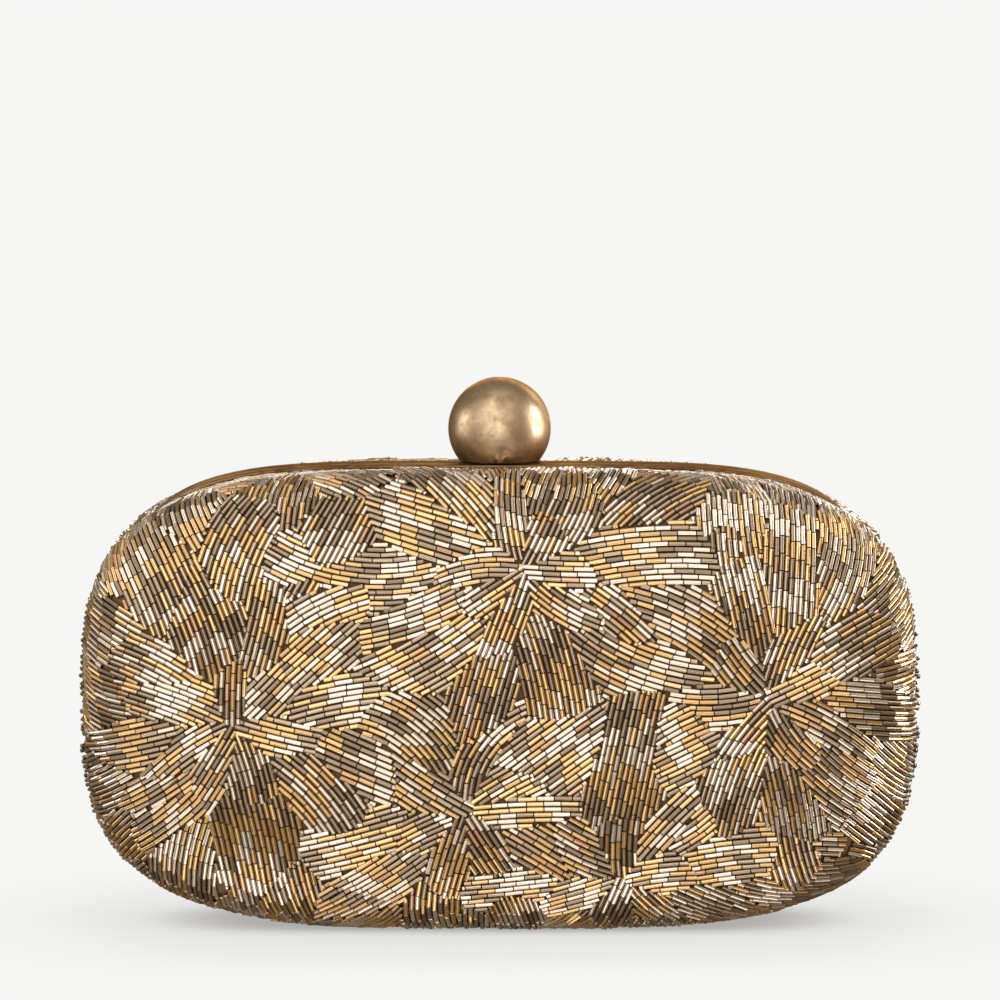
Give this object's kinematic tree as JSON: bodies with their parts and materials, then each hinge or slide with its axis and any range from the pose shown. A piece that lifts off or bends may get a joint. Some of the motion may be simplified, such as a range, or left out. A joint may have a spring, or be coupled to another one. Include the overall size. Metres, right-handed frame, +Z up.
{
  "type": "box clutch evening bag",
  "caption": "Beaded box clutch: two domed halves in hinged brass frames, shut by a sliding ball clasp on top.",
  "frame": {"origin": "on the ground under the middle of the closed bag, in the parting plane of its two halves", "axes": "+Z up, +X along the bag to the viewer's right, -Y towards the front"},
  "size_m": [0.18, 0.05, 0.1185],
  "materials": {
    "beading": "cloth sewn all over with metal-lined glass bugle beads in gold, champagne, copper and pewter",
    "shell_board": "moulded stiff shell",
    "satin": "satin lining",
    "aged_brass": "antique brass, satin",
    "ball_brass": "aged brass, brushed to a soft shine",
    "latch_steel": "plain nickelled steel"
  },
  "bodies": {
    "back_half": {"back_frame": "aged_brass", "back_cover": "beading", "back_shell": "shell_board", "back_lining": "satin", "pocket_panel": "satin", "latch_bracket": "latch_steel", "latch_spring": "latch_steel", "bracket_rivet_1": "latch_steel", "bracket_rivet_2": "latch_steel", "hinge_leaf_back": "aged_brass", "hinge_pin": "latch_steel", "hinge_rivet_back_1": "aged_brass", "hinge_rivet_back_2": "aged_brass", "hinge_rivet_back_3": "aged_brass"},
    "front_half": {"front_frame": "aged_brass", "front_cover": "beading", "front_shell": "shell_board", "front_lining": "satin", "hinge_leaf_front": "aged_brass", "hinge_rivet_front_1": "aged_brass", "hinge_rivet_front_2": "aged_brass", "hinge_rivet_front_3": "aged_brass", "strike_plate": "latch_steel", "strike_rivet_1": "latch_steel", "strike_rivet_2": "latch_steel"},
    "clasp": {"clasp_ball": "ball_brass", "ball_base": "ball_brass", "clasp_stem": "latch_steel", "latch_plate": "latch_steel", "stem_nut": "latch_steel"}
  },
  "joints": [
    {"name": "front_open", "type": "hinge", "parent": "back_half", "child": "front_half", "pos_m": [0, 0, 0.0016], "axis": [1, 0, 0], "range_deg": [0, 80]},
    {"name": "clasp_slide", "type": "slide", "parent": "back_half", "child": "clasp", "axis": [1, 0, 0], "range_m": [0, 0.004], "stiffness_N_per_m": 250, "springref_m": -0.003, "deforming": ["latch_spring"]}
  ]
}
